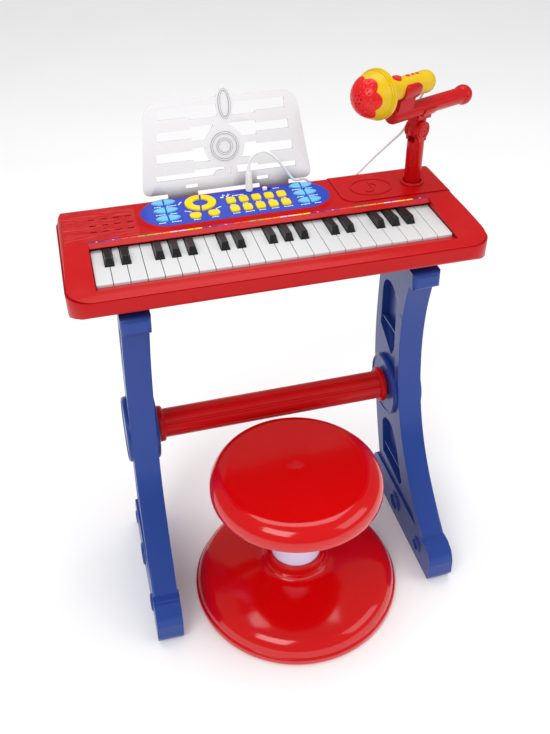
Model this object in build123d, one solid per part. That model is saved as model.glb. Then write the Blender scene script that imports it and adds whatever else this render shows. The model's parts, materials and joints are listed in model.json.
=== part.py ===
from build123d import *
import os
from math import cos, sin, tan, radians

# Toy electronic keyboard on a stand, with a boom microphone, a music rest and a stool.
# The model is built with x = 0 on the keybed's centre, y = 0 a little in front of the white keys
# and z = 0 on the floor, in millimetres. The last lines move the origin to the centre of the
# footprint's box.

# ---------------------------------------------------------------- driving dimensions
KEY_PITCH = 20.0            # one white key to the next
WHITE_KEYS = 22             # three octaves and the top C
KEY_TOP = 500.0             # white key tops above the floor
KEY_FRONT = 5.0             # front faces of the white keys
KEY_REAR = 85.0             # rear end of the key tops, under the deck's edge
CASE_X, CASE_WIDTH = 3.5, 514.0
CASE_FRONT = -27.0
CASE_BACK = 184.0
LEG_TOP = 462.0             # underside of the case, where the legs join
LEG_CENTRE = 182.0          # leg centre line at its top, from the keybed's centre
LEG_SPLAY = 2.2             # degrees that each leg leans outwards
BAR_Y, BAR_Z = 62.0, 225.0  # crossbar axis
POST_X, POST_Y = 217.0, 134.0
PIVOT_Z = 584.5             # microphone boom pivot
BOOM_TURN = 28.0            # boom direction from +X towards +Y, in degrees
BOOM_TILT = 4.2             # how far the boom's front end is tipped up, in degrees
STOOL_X, STOOL_Y = -4.0, -77.0

# ---------------------------------------------------------------- derived and detail dimensions
WALL = 2.5
LEDGE = 2.6                 # how far the tray stands out below the lid
RIM = 1.1                   # width of the tray's rim under the lid
SEAM_Z = KEY_TOP - 2.6
SIDE_MARGIN = 0.4           # how far the rounding profiles stand outside the case's plan
DECK_Z = KEY_TOP + 9        # flat deck behind the keys
DECK_FRONT = 86.8
NOSE_Y, NOSE_Z = 79.5, KEY_TOP + 5.0    # lower edge of the deck's nose, over the rear of the keys
PAD_X, PAD_Y, PAD_RISE = 111.0, 100.0, 1.2
KEYBED_HALF = KEY_PITCH * WHITE_KEYS / 2
KEY_GAP = 0.8
KEY_DEPTH = 10.0
KEY_WALL = 1.8
NOTCH_Y = 42.0              # where the black keys begin
BLACK_WIDTH = 10.0
BLACK_HEIGHT, BLACK_REAR = 9.0, 3.9     # black key tops above the white ones, in front and behind
BLACK_SLOPE = 7.9                       # fall of the black tops towards the rear, in degrees
ARM_TOP = KEY_TOP - 4.0
ARM_WIDTH = 6.0
RAIL_Y, RAIL_Z, RAIL_R = 150.0, 486.0, 2.0
RAIL_GAP = 0.08             # running clearance round the bead
FLOOR_Z = LEG_TOP + WALL
SOCKET_Z = ARM_TOP + 1.2    # bottom of the microphone post's socket

PANEL_X, PANEL_Y = -26.0, 133.0
PANEL_HALF_LENGTH = 124.0
PANEL_R = 36.0
PANEL_LEDGE_Z = DECK_Z + 1.6
PANEL_THICK = 2.6
PANEL_TOP = PANEL_LEDGE_Z + PANEL_THICK
BEZEL_TOP = PANEL_TOP - 0.4
BUTTON_RISE = 2.2
BUTTON_GAP = 0.3
BUTTON_FLANGE = 0.7
BOARD_TOP = PANEL_LEDGE_Z - 9.0
BOARD_THICK = 1.6

LEAF_COLUMNS = (-117.4, 67.0)       # centres of the light blue button columns
LEAF_ROWS = (158.0, 136.5, 115.0)
SQUARE_X0, SQUARE_PITCH, SQUARE_SIZE = -31.5, 16.9, 12.0
SQUARE_ROWS = (141.0, 117.5)
RING_X, RING_Y, RING_OUTER, RING_INNER = -71.0, 145.5, 20.5, 10.0
DOME_CENTRES = ((-83.0, 113.5), (-59.0, 114.5))
SWITCH_X, SWITCH_Y = 20.3, 161.0
JACK_X, JACK_Y = -2.0, 162.5
LED_X, LED_Y = -18.0, 157.5

SPEAKER_X, SPEAKER_Y, SPEAKER_R = -188.0, 129.5, 28.5

REST_X, REST_Y, REST_Z = -26.0, 178.5, 515.0
REST_LEAN, REST_THICK, REST_HEIGHT = 15.0, 3.0, 116.0
REST_BOTTOM, REST_TOP = 230.0, 198.0

LEG_PANEL, LEG_FULL = 28.0, 34.0
FOOT_HEIGHT = 60.0
TUBE_R, FLANGE_R, SPIGOT_R = 20.5, 25.5, 17.0

BOOM_R = 10.5
BOOM_LIFT = 28.0            # boom axis above the pivot
MIC_LIFT = 60.5             # microphone axis above the pivot
FRONT_S, BALL_S = -60.0, 89.5   # the boom's two ends, along it from the post
HANDLE_R = 13.4
TAIL_S = 14.0               # end of the handle
RIM_S, RIM_R = -89.5, 30.0  # the microphone head's widest ring
DOME_R, DOME_LENGTH = 28.5, 34.6
CLIP_FRONT, CLIP_REAR = -52.0, -22.0    # the clip under the handle, along the boom
POST_R = 11.1
CABLE_R = 1.7
MIC_BUTTON_PLACES = ((-55.6, 6.0), (-35.0, 2.8), (-25.3, 2.2), (-16.9, 2.2))    # along the boom, radius

SCREW_POINTS = ((-238.0, 12.0), (238.0, 12.0), (-238.0, 160.0), (238.0, 160.0),
                (-130.0, 172.0), (130.0, 172.0))
BATTERY_X, BATTERY_Y0, BATTERY_Y1 = 58.0, 32.0, 93.0


# ---------------------------------------------------------------- helpers
def block(x0, x1, y0, y1, z0, z1):
    """A box between two corners."""
    centre = Pos((x0 + x1) / 2, (y0 + y1) / 2, (z0 + z1) / 2)
    return centre * Box(abs(x1 - x0), abs(y1 - y0), abs(z1 - z0))


def rod(x, y, z0, z1, radius):
    """A vertical cylinder."""
    return Pos(x, y, (z0 + z1) / 2) * Cylinder(radius, z1 - z0)


def along_x(x0, x1, *edges):
    """A closed outline of (y, z) edges, extruded from x0 to x1."""
    face = make_face(Curve() + list(edges))
    return Pos(x0, 0, 0) * extrude(Plane.YZ * face, x1 - x0)


def along_y(y0, y1, *edges):
    """A closed outline of (x, z) edges, extruded from y0 to y1."""
    face = make_face(Curve() + list(edges))
    return Pos(0, y0, 0) * extrude(Plane.XZ * face, -(y1 - y0))


def outline(*points):
    """The straight edges through the points, closed."""
    return Polyline(*points, close=True)


def raised(shape, z0, z1):
    """A flat outline extruded upwards from z0 to z1."""
    return Pos(0, 0, z0) * extrude(shape, z1 - z0, dir=(0, 0, 1))


def stadium(half_length, radius, z0, z1):
    """An upright slot-shaped plate in the control panel's place."""
    plate = SlotOverall(2 * half_length, 2 * radius)
    return Pos(PANEL_X, PANEL_Y, z0) * extrude(plate, z1 - z0)


def boom_frame(s=0.0, lift=0.0, tilt=BOOM_TILT):
    """A place on the boom: s along it from the post, lift above the pivot; local x runs along it."""
    return Pos(POST_X, POST_Y, PIVOT_Z) * Rot(0, 0, BOOM_TURN) * Rot(0, tilt, 0) * Pos(s, 0, lift)


def post_frame(lift=0.0):
    """A place on the post's axis, turned like the boom but upright."""
    return boom_frame(0, lift, 0)


def revolved(points):
    """A body turned about z from (radius, height) points."""
    return revolve(Plane.XZ * make_face(outline(*points)), Axis.Z)


# ---------------------------------------------------------------- case
def case_plan(grow, z0, z1):
    """The case's rounded outline seen from above, larger all round by grow."""
    sheet = Pos(CASE_X, (CASE_FRONT + CASE_BACK) / 2) * Rectangle(
        CASE_WIDTH + 2 * grow, CASE_BACK - CASE_FRONT + 2 * grow)
    sheet = fillet(sheet.vertices().group_by(Axis.Y)[0], 30 + grow)
    sheet = fillet(sheet.vertices().group_by(Axis.Y)[-1], 23 + grow)
    return Pos(0, 0, z0) * extrude(sheet, z1 - z0)


def top_profile(drop):
    """The case's lid seen from the side, lowered by drop: front lip, cheeks, deck and rear roll."""
    front, back = CASE_FRONT - SIDE_MARGIN, CASE_BACK + SIDE_MARGIN
    low = KEY_TOP - drop
    lip = ThreePointArc((front, SEAM_Z + 0.6 - drop), (-20, low - 0.5), (-11, low + 0.2))
    cheek = ThreePointArc((-11, low + 0.2), (14, low + 3.3), (40, low + 5))
    deck = Polyline((40, KEY_TOP + 5 - drop), (DECK_FRONT, DECK_Z - drop), (172, DECK_Z - drop))
    roll = ThreePointArc((172, DECK_Z - drop), (back - 3.6, DECK_Z - 3.6 - drop), (back, DECK_Z - 12 - drop))
    base = Polyline((back, DECK_Z - 12 - drop), (back, SEAM_Z - 20), (front, SEAM_Z - 20),
                    (front, SEAM_Z + 0.6 - drop))
    half = CASE_WIDTH / 2 + 10
    return along_x(-half, half, lip, cheek, deck, roll, base)


def rounded_sides():
    """The case seen from the front, with its upper side edges rolled over."""
    half, roll = CASE_WIDTH / 2 + SIDE_MARGIN, 9.0
    reach = 0.2929 * roll
    left = ThreePointArc((-half, DECK_Z - roll), (-half + reach, DECK_Z - reach), (-half + roll, DECK_Z))
    right = ThreePointArc((half - roll, DECK_Z), (half - reach, DECK_Z - reach), (half, DECK_Z - roll))
    rest = Polyline((half, DECK_Z - roll), (half, SEAM_Z - 20), (-half, SEAM_Z - 20), (-half, DECK_Z - roll))
    top = Line((-half + roll, DECK_Z), (half - roll, DECK_Z))
    return Pos(CASE_X, 0, 0) * along_y(CASE_FRONT - 5, CASE_BACK + 5, left, top, right, rest)


def keybed_opening(grow, bottom):
    """The hole in the lid for the keys: a sloping shelf in front, and the deck's nose behind."""
    half = KEYBED_HALF + 0.6 + grow
    shelf, rear = KEY_FRONT - 1.2 - grow, KEY_REAR + 0.8 + grow
    front = Polyline((DECK_FRONT, KEY_TOP + 20), (-9 - grow, KEY_TOP + 20),
                     (-9 - grow, KEY_TOP + 0.1 - grow), (shelf, KEY_TOP - 3.2 - grow),
                     (shelf, bottom), (rear, bottom))
    if grow:
        upright = Polyline((rear, bottom), (rear, KEY_TOP + 20), (DECK_FRONT, KEY_TOP + 20))
        return along_x(-half, half, front, upright)
    nose = Polyline((rear, bottom), (rear, NOSE_Z), (NOSE_Y, NOSE_Z), (NOSE_Y, NOSE_Z + 0.9),
                    (DECK_FRONT, DECK_Z), (DECK_FRONT, KEY_TOP + 20))
    return along_x(-half, half, front, nose)


def lid_bosses():
    """Screw bosses hanging from the lid, and the socket tube for the microphone post."""
    bosses = [rod(x, y, SEAM_Z - 12, DECK_Z, 4.5) for x, y in SCREW_POINTS]
    holes = [rod(x, y, SEAM_Z - 13, KEY_TOP - 3, 1.55) for x, y in SCREW_POINTS]
    socket = rod(POST_X, POST_Y, SOCKET_Z, DECK_Z - 1, 11.5)
    return bosses + [socket], holes


def bezel():
    """The raised surround of the control panel, with a sloping skirt."""
    low = Pos(PANEL_X, PANEL_Y, DECK_Z - 2) * SlotOverall(2 * (PANEL_HALF_LENGTH + 8.5), 2 * (PANEL_R + 6.5))
    high = Pos(PANEL_X, PANEL_Y, BEZEL_TOP) * SlotOverall(2 * (PANEL_HALF_LENGTH + 1.6), 2 * (PANEL_R + 1.6))
    return loft([low, high])


def note_badge():
    """An embossed oval ring around a plain quaver, right of the panel."""
    rim = Ellipse(29, 24) - Ellipse(26.6, 21.6)
    head = Pos(-4, -9) * Rot(0, 0, 25) * Ellipse(6.2, 4.4)
    stem = Pos(1.0, 2.5) * Rectangle(1.8, 24)
    flag = make_face(outline((1.9, 14.5), (10, 6.5), (8, 1.5), (6.2, 5.5), (1.9, 8.5)))
    badge = rim + head + stem + flag
    return Pos(158.5, 135, DECK_Z + PAD_RISE - 0.5) * extrude(badge, 1.3)


def deck_pad():
    """The slightly raised right part of the deck, with rounded left corners."""
    length, width = 300, 300
    sheet = Rectangle(length, width)
    sheet = fillet(sheet.vertices().group_by(Axis.X)[0], 20)
    area = Pos(PAD_X + length / 2, PAD_Y + width / 2, DECK_Z - 2) * extrude(sheet, 10)
    skin = Pos(0, 0, PAD_RISE) * (top_profile(0) & rounded_sides())
    return area & skin & case_plan(-0.05, DECK_Z - 12, DECK_Z + 5)


def speaker_slots():
    """Three rows of four slots over the speaker."""
    slots = []
    for row in range(3):
        for column in range(4):
            place = Pos(SPEAKER_X + (column - 1.5) * 15.5, SPEAKER_Y + (row - 1) * 16.4, DECK_Z - 6)
            slots.append(place * extrude(SlotOverall(8.5, 2.0), 10))
    return slots


def rest_plane(grow=0.0):
    """The music rest's plane: x to the right, y up along the plate; its origin is the bottom edge."""
    lean = Plane((REST_X, REST_Y, REST_Z), x_dir=(1, 0, 0), z_dir=(0, -cos(radians(REST_LEAN)),
                                                                 sin(radians(REST_LEAN))))
    return lean.offset(-(REST_THICK / 2 + grow))


def rest_tabs(grow):
    """The two tabs that stand in the case, grown for the slots that receive them."""
    tab = Rectangle(40 + 2 * grow, 18 + 2 * grow)
    tabs = [Pos(side * 62, -8) * tab for side in (-1, 1)]
    return [rest_plane(grow) * extrude(t, REST_THICK + 2 * grow) for t in tabs]


def upper_case():
    """The lid: deck, cheeks, keybed opening, bezel, speaker slots and sockets."""
    outside = top_profile(0) & case_plan(0, SEAM_Z, DECK_Z + 1) & rounded_sides()
    inside = top_profile(WALL) & case_plan(-WALL, SEAM_Z - 1, DECK_Z)
    walls = keybed_opening(2.2, KEY_TOP - 13) & case_plan(-WALL, KEY_TOP - 13, DECK_Z + 1)
    walls = walls & top_profile(0)
    walls -= block(-300, 300, DECK_FRONT - 8, DECK_FRONT + 8, KEY_TOP - 20, ARM_TOP + 1.2)
    bosses, holes = lid_bosses()
    lid = outside - inside
    lid += walls
    lid -= keybed_opening(0, KEY_TOP - 30)
    lid += [boss & top_profile(0) for boss in bosses]
    lid += deck_pad() - keybed_opening(0, KEY_TOP - 30)
    lid += bezel()
    lid -= stadium(PANEL_HALF_LENGTH + 0.15, PANEL_R + 0.15, PANEL_LEDGE_Z, PANEL_TOP + 2)
    lid -= stadium(PANEL_HALF_LENGTH - 1.2, PANEL_R - 1.2, DECK_Z - 5, PANEL_TOP)
    lid += note_badge()
    collar = rod(POST_X, POST_Y, DECK_Z - 1, DECK_Z + 4.6, 15.5)
    collar = chamfer(collar.edges().group_by(Axis.Z)[-1], 1.6)
    lid += collar
    lid -= rod(POST_X, POST_Y, DECK_Z + 1.4, DECK_Z + 6, 12.6)
    lid -= rod(POST_X, POST_Y, SOCKET_Z + 1.2, DECK_Z + 6, 8.06)
    lid -= holes
    lid -= speaker_slots()
    lid -= rest_tabs(0.3)
    return lid


def bottom_profile(shrink):
    """The tray seen from the side: front wall, sloping underside, flat bottom and rear wall."""
    margin = LEDGE + SIDE_MARGIN - shrink
    front, back, low = CASE_FRONT - margin, CASE_BACK + margin, LEG_TOP + shrink
    edge = KEY_TOP - 24 + shrink
    nose = ThreePointArc((front, KEY_TOP - 15.5), (front + 2.2, KEY_TOP - 21), (front + 8, edge))
    belly = Polyline((front + 8, edge), (18, low), (150, low))
    heel = ThreePointArc((150, low), (back - 9, low + 8), (back, low + 22))
    rest = Polyline((back, low + 22), (back, SEAM_Z), (front, SEAM_Z), (front, KEY_TOP - 15.5))
    half = CASE_WIDTH / 2 + 10
    return along_x(-half, half, nose, belly, heel, rest)


def bottom_sides(shrink):
    """The tray seen from the front, with rounded lower corners."""
    half, radius, low = CASE_WIDTH / 2 + LEDGE + SIDE_MARGIN - shrink, 14.0 - shrink, LEG_TOP + shrink
    reach = 0.2929 * radius
    left = ThreePointArc((-half + radius, low), (-half + reach, low + reach), (-half, low + radius))
    right = ThreePointArc((half, low + radius), (half - reach, low + reach), (half - radius, low))
    rest = Polyline((-half, low + radius), (-half, SEAM_Z), (half, SEAM_Z), (half, low + radius))
    base = Line((half - radius, low), (-half + radius, low))
    return Pos(CASE_X, 0, 0) * along_y(CASE_FRONT - 5, CASE_BACK + 5, left, rest, right, base)


def leg_tongue(side, grow):
    """The block on top of a leg that stands in the tray's socket."""
    x = side * LEG_CENTRE
    return block(x - 11 - grow, x + 11 + grow, 24 - grow, 84 + grow, LEG_TOP - 2, LEG_TOP + 11 + grow)


def battery_bay():
    """The walls of the battery compartment, its guide rails and the cut for its mouth."""
    x, y0, y1 = BATTERY_X - 2, BATTERY_Y0 + 3, BATTERY_Y1 - 3
    bay = block(-x - 2, x + 2, y0 - 2, y1 + 2, LEG_TOP, LEG_TOP + 17)
    mouth = block(-x, x, y0, y1, LEG_TOP - 1, LEG_TOP + 15)
    rails = []
    for side in (-1, 1):
        wall = block(side * (BATTERY_X + 0.5), side * (BATTERY_X + 3), BATTERY_Y0, BATTERY_Y1 + 4,
                     LEG_TOP - 3.6, LEG_TOP)
        lip = block(side * (BATTERY_X - 1.6), side * (BATTERY_X + 3), BATTERY_Y0, BATTERY_Y1 + 4,
                    LEG_TOP - 4.6, LEG_TOP - 3.2)
        rails += [wall, lip]
    return bay, mouth, rails


def key_rail():
    """The pivot rail: a low wall with a round bead, carried on the tray's floor."""
    half = KEYBED_HALF - 1
    wall = block(-half, half, RAIL_Y - 1, RAIL_Y + 1, FLOOR_Z - 0.5, RAIL_Z)
    bead = Pos(0, RAIL_Y, RAIL_Z) * Rot(0, 90, 0) * Cylinder(RAIL_R, 2 * half)
    return wall + bead


def lower_case():
    """The tray: walls, key rail, battery bay, leg sockets, screw posts and board posts."""
    outside = bottom_profile(0) & case_plan(LEDGE, LEG_TOP, SEAM_Z) & bottom_sides(0)
    inside = bottom_profile(WALL) & case_plan(-RIM, LEG_TOP, SEAM_Z + 1) & bottom_sides(WALL)
    tray = outside - inside
    tray += key_rail()
    bay, mouth, rails = battery_bay()
    tray += bay
    tray -= mouth
    tray += rails
    for side in (-1, 1):
        x = side * LEG_CENTRE
        tray += block(x - 14, x + 14, 21, 87, LEG_TOP, LEG_TOP + 14)
        tray -= leg_tongue(side, 0.4)
    for x, y in SCREW_POINTS:
        tray += rod(x, y, FLOOR_Z - 1, SEAM_Z - 12.2, 5.5) & bottom_profile(0)
    for x, y in SCREW_POINTS:
        tray -= rod(x, y, LEG_TOP - 5, SEAM_Z, 1.75)
        tray -= rod(x, y, LEG_TOP - 5, LEG_TOP + 5, 3.6)
    for x in (-205, -100, 0, 100, 205):
        tray += rod(x, 22, FLOOR_Z - 1, KEY_TOP - 20, 2.5)
    for x in (-130, -26, 78):
        tray += rod(x, RAIL_Y + 9.5, FLOOR_Z - 1, BOARD_TOP - BOARD_THICK, 3)
    return tray


def battery_door():
    """A flat cover that slides rearwards on the tray's rails, with grip ridges."""
    door = block(-BATTERY_X, BATTERY_X, BATTERY_Y0, BATTERY_Y1, LEG_TOP - 2.8, LEG_TOP - 0.3)
    for step in range(4):
        y = BATTERY_Y0 + 6 + 3.5 * step
        door += block(-10, 10, y, y + 1.6, LEG_TOP - 3.8, LEG_TOP - 2.7)
    return door


# ---------------------------------------------------------------- keys
def has_black_right(index):
    """Whether a black key stands between this white key and the next, counting from C."""
    return index % 7 not in (2, 6) and index < WHITE_KEYS - 1


def key_arm(x, start):
    """A key's arm, running back under the deck to a notched foot that straddles the rail."""
    half = ARM_WIDTH / 2
    arm = block(x - half, x + half, start, RAIL_Y + 5, ARM_TOP - 5, ARM_TOP)
    foot = block(x - half, x + half, RAIL_Y - 5, RAIL_Y + 5, RAIL_Z - 4, ARM_TOP - 4)
    notch = RAIL_R + RAIL_GAP
    slot = block(x - half - 1, x + half + 1, RAIL_Y - notch, RAIL_Y + notch, RAIL_Z - 5, RAIL_Z + notch)
    return arm + foot - slot


def white_key(index):
    """A hollow white key, notched beside its black neighbours, with its pivot arm."""
    left = (index - WHITE_KEYS / 2) * KEY_PITCH + KEY_GAP / 2
    right = left + KEY_PITCH - KEY_GAP
    notch = (BLACK_WIDTH + KEY_GAP) / 2 + 0.1
    near = left + (notch if index > 0 and has_black_right(index - 1) else 0)
    far = right - (notch if has_black_right(index) else 0)
    bottom = KEY_TOP - KEY_DEPTH
    head = block(left, right, KEY_FRONT, NOTCH_Y, bottom, KEY_TOP)
    front_edge = head.edges().group_by(Axis.Z)[-1].group_by(Axis.Y)[0]
    head = chamfer(front_edge, 1.0)
    key = head + block(near, far, NOTCH_Y - 1, KEY_REAR, bottom, KEY_TOP)
    ceiling = KEY_TOP - 2.2
    key -= block(left + KEY_WALL, right - KEY_WALL, KEY_FRONT + KEY_WALL, NOTCH_Y - 2.5, bottom - 1, ceiling)
    key -= block(near + KEY_WALL, far - KEY_WALL, NOTCH_Y - 3, KEY_REAR - 3, bottom - 1, ceiling)
    centre = (index - WHITE_KEYS / 2 + 0.5) * KEY_PITCH
    return key + key_arm(centre, KEY_REAR - 4)


def black_key(index):
    """A tapered black key: steep front, dished top that falls towards the rear, and a pivot arm."""
    x = (index - WHITE_KEYS / 2 + 1) * KEY_PITCH
    half, top_half = BLACK_WIDTH / 2, BLACK_WIDTH / 2 - 1.2
    back, top, bottom = KEY_REAR - 0.4, KEY_TOP + BLACK_HEIGHT, KEY_TOP - 8.0
    front = NOTCH_Y + 0.8
    fall = BLACK_HEIGHT - BLACK_REAR
    side = along_x(x - half, x + half, outline(
        (front, bottom), (front, KEY_TOP + 1.8), (front + 1.0, KEY_TOP + 2.8), (front + 4.4, top - 0.4),
        (front + 5.2, top), (back - 0.5, top - fall), (back, top - fall - 0.5), (back, bottom)))
    taper = along_y(front - 1, back + 1, outline(
        (x - half, bottom), (x - half, KEY_TOP + 1.5), (x - top_half, top),
        (x + top_half, top), (x + half, KEY_TOP + 1.5), (x + half, bottom)))
    key = side & taper
    dish = block(x - top_half + 0.9, x + top_half - 0.9, front + 6.6, back + 1, top - 0.35, top + 3)
    slope = Pos(0, front + 5.2, top) * Rot(-BLACK_SLOPE, 0, 0) * Pos(0, -front - 5.2, -top)
    key -= slope * dish
    inside = half - KEY_WALL
    key -= block(x - inside, x + inside, front + KEY_WALL, back - 3, bottom - 1, KEY_TOP + 1.5)
    return key + key_arm(x, back - 3.5)


# ---------------------------------------------------------------- control panel and electronics
def leaf_half(side):
    """Half of a leaf-shaped button, pointing towards side, about its own centre."""
    tip = side * 15.3
    arc_up = ThreePointArc((side * 0.9, 6.6), (side * 9.5, 5.0), (tip, 0.8))
    arc_tip = ThreePointArc((tip, 0.8), (tip + side * 0.35, 0), (tip, -0.8))
    arc_down = ThreePointArc((tip, -0.8), (side * 9.5, -5.0), (side * 0.9, -6.6))
    return make_face(Curve() + [arc_up, arc_tip, arc_down, Line((side * 0.9, -6.6), (side * 0.9, 6.6))])


def leaf_outlines():
    """The twelve light blue half leaves: three rows in each of two columns."""
    return [Pos(x, y) * leaf_half(side) for x in LEAF_COLUMNS for y in LEAF_ROWS for side in (-1, 1)]


def square_outlines():
    """The ten yellow rounded squares, two rows of five."""
    places = [(SQUARE_X0 + i * SQUARE_PITCH + 0.2 * row, y) for row, y in enumerate(SQUARE_ROWS)
              for i in range(5)]
    return [Pos(x, y) * RectangleRounded(SQUARE_SIZE, SQUARE_SIZE + 3, 3.4) for x, y in places]


def round_outlines():
    """The split yellow ring and the two domed buttons below it."""
    ring = Circle(RING_OUTER) - Circle(RING_INNER)
    cut = Rot(0, 0, -8) * Rectangle(2.2, 60)
    halves = (Pos(RING_X, RING_Y) * (ring - cut)).faces()
    domes = []
    for x, y in DOME_CENTRES:
        dome = Circle(7.6) & Pos(0, -1.2) * Rectangle(20, 14.5)
        domes.append(Pos(x, y) * dome)
    return [Sketch() + face for face in halves] + domes


def press_button(shape):
    """A button of the given outline: a chamfered cap with a wider flange under the panel."""
    cap = raised(shape, PANEL_LEDGE_Z - 1.5, PANEL_TOP + BUTTON_RISE)
    cap = chamfer(cap.edges().group_by(Axis.Z)[-1], 0.6)
    flange = offset(shape, amount=BUTTON_FLANGE)
    return cap + raised(flange, PANEL_LEDGE_Z - 2.9, PANEL_LEDGE_Z - 1.4)


def button_group(outlines):
    """Separate buttons, kept as one group of solids."""
    return Compound([press_button(shape).solid() for shape in outlines])


def tone_buttons():
    return button_group(leaf_outlines())


def rhythm_buttons():
    return button_group(square_outlines() + round_outlines())


def control_panel():
    """The fascia plate with a hole for each button, the switch, the jack and the lamp."""
    plate = stadium(PANEL_HALF_LENGTH, PANEL_R, PANEL_LEDGE_Z, PANEL_TOP)
    plate = chamfer(plate.edges().group_by(Axis.Z)[-1], 0.4)
    for shape in leaf_outlines() + square_outlines() + round_outlines():
        hole = offset(shape, amount=BUTTON_GAP)
        plate -= raised(hole, PANEL_LEDGE_Z - 1, PANEL_TOP + 1)
    window = extrude(RectangleRounded(13, 5.2, 1), PANEL_THICK + 2)
    plate -= Pos(SWITCH_X, SWITCH_Y, PANEL_LEDGE_Z - 1) * window
    plate -= rod(JACK_X, JACK_Y, PANEL_LEDGE_Z - 1, PANEL_TOP + 1, 3.2)
    plate -= rod(LED_X, LED_Y, PANEL_LEDGE_Z - 1, PANEL_TOP + 1, 1.6)
    return plate


def power_switch():
    """The white slide knob of the power switch, with a foot under the panel."""
    knob = Pos(SWITCH_X - 1.5, SWITCH_Y, PANEL_LEDGE_Z - 3) * extrude(RectangleRounded(6, 4.4, 1), 9.0)
    knob = chamfer(knob.edges().group_by(Axis.Z)[-1], 0.7)
    foot = block(SWITCH_X - 5.5, SWITCH_X + 2.5, SWITCH_Y - 3.2, SWITCH_Y + 3.2, PANEL_LEDGE_Z - 3.2,
                 PANEL_LEDGE_Z - 0.6)
    return knob + foot


def circuit_boards():
    """The panel's board with its jack, switch body, lamp and chips, and the board under the keys."""
    main = Pos(PANEL_X, PANEL_Y, BOARD_TOP - BOARD_THICK) * extrude(Rectangle(222, 62), BOARD_THICK)
    jack = rod(JACK_X, JACK_Y, BOARD_TOP - 0.5, PANEL_LEDGE_Z - 0.4, 4.5)
    jack -= rod(JACK_X, JACK_Y, BOARD_TOP + 0.6, PANEL_LEDGE_Z, 1.85)
    switch = block(SWITCH_X - 8, SWITCH_X + 6, SWITCH_Y - 3.5, SWITCH_Y + 2.5, BOARD_TOP - 0.5,
                   PANEL_LEDGE_Z - 3.6)
    lamp = rod(LED_X, LED_Y, BOARD_TOP - 0.5, PANEL_TOP + 0.2, 1.45)
    chips = [block(x, x + 22, 120, 134, BOARD_TOP - 0.2, BOARD_TOP + 2) for x in (-95, -20)]
    main = main + jack + switch + lamp + chips
    keys = block(-KEYBED_HALF + 4, KEYBED_HALF - 4, 14, 30, KEY_TOP - 20, KEY_TOP - 20 + BOARD_THICK)
    return Compound([main.solid(), keys.solid()])


def speaker():
    """The loudspeaker: rim, cone basket and magnet, hanging under its slots."""
    top = DECK_Z - WALL - 0.3
    body = revolved(((0, top - 4), (SPEAKER_R - 8, top - 1), (SPEAKER_R - 3, top - 1), (SPEAKER_R - 3, top),
                     (SPEAKER_R, top), (SPEAKER_R, top - 2), (SPEAKER_R - 4, top - 2), (14, top - 5),
                     (14, top - 8.6), (0, top - 8.6)))
    return Pos(SPEAKER_X, SPEAKER_Y, 0) * body


# ---------------------------------------------------------------- music rest
def rest_slots():
    """The stave-like slots: four rows each side of the clef, each with a narrower outer part."""
    rows = ((91.0, 107.0, 94.0, 107.0), (63.6, 81.8, 67.5, 78.5), (36.6, 54.8, 40.0, 51.8),
            (17.3, 27.0, 17.3, 24.0))
    slots = []
    for low, high, outer_low, outer_high in rows:
        middle = (outer_low + outer_high) / 2
        reach = REST_BOTTOM / 2 - 18 - middle * (REST_BOTTOM - REST_TOP) / 2 / REST_HEIGHT
        for side in (-1, 1):
            inner = Pos(side * 23, (low + high) / 2) * Rectangle(40, high - low)
            outer = Pos(side * (reach + 40) / 2, middle) * Rectangle(reach - 40, outer_high - outer_low)
            slots += [inner, outer]
    return slots


def clef():
    """A plain treble-clef shape: a tall loop, a round belly, a stem and a ball."""
    loop = Pos(4, 106) * Ellipse(11, 23)
    neck = make_face(outline((-6, 94), (10, 90), (2, 70), (-22, 66)))
    belly = Pos(-0.5, 53) * Circle(26.5)
    stem = make_face(outline((3, 40), (13, 38), (15, 8), (5, 3), (-2, 5), (5, 12)))
    ball = Pos(-9, 14) * Circle(10)
    return loop + neck + belly + stem + ball


def clef_lines():
    """The raised spiral of the clef, as thin rings."""
    rings = Pos(-0.5, 53) * (Circle(18) - Circle(16.6)) + Pos(-0.5, 53) * (Circle(10) - Circle(8.6))
    rings += Pos(4, 106) * (Ellipse(7.5, 18) - Ellipse(6.2, 16.7))
    return rings


def music_rest():
    """The leaning plate with its slots, clef and tabs."""
    half, top = REST_BOTTOM / 2, REST_TOP / 2
    plate = make_face(outline((-half, 0), (half, 0), (top, REST_HEIGHT), (-top, REST_HEIGHT)))
    plate = fillet(plate.vertices().group_by(Axis.Y)[-1], 22)
    plate = fillet(plate.vertices().group_by(Axis.Y)[0], 9)
    plate -= rest_slots()
    plate += clef()
    plate -= [Pos(side * 48 - 1, 7) * Rectangle(16, 5) for side in (-1, 1)]
    body = rest_plane() * extrude(plate, REST_THICK)
    body += rest_plane() * extrude(clef_lines(), REST_THICK + 0.8)
    return body + rest_tabs(0)


# ---------------------------------------------------------------- microphone and boom
def across_boom(s, lift, y0, y1, radius):
    """A cylinder across the boom, from y0 to y1 in the boom's own sideways direction."""
    place = boom_frame(s, lift) * Pos(0, (y0 + y1) / 2, 0) * Rot(90, 0, 0)
    return place * Cylinder(radius, y1 - y0)


def across_post(y0, y1, radius):
    """A cylinder across the post's fork."""
    return post_frame() * Pos(0, (y0 + y1) / 2, 0) * Rot(90, 0, 0) * Cylinder(radius, y1 - y0)


def along_boom(points, lift):
    """A body turned about the boom direction from (distance along it, radius) points."""
    face = make_face(outline(*points))
    return boom_frame(0, lift) * revolve(Plane.XY * face, Axis.X)


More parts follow.
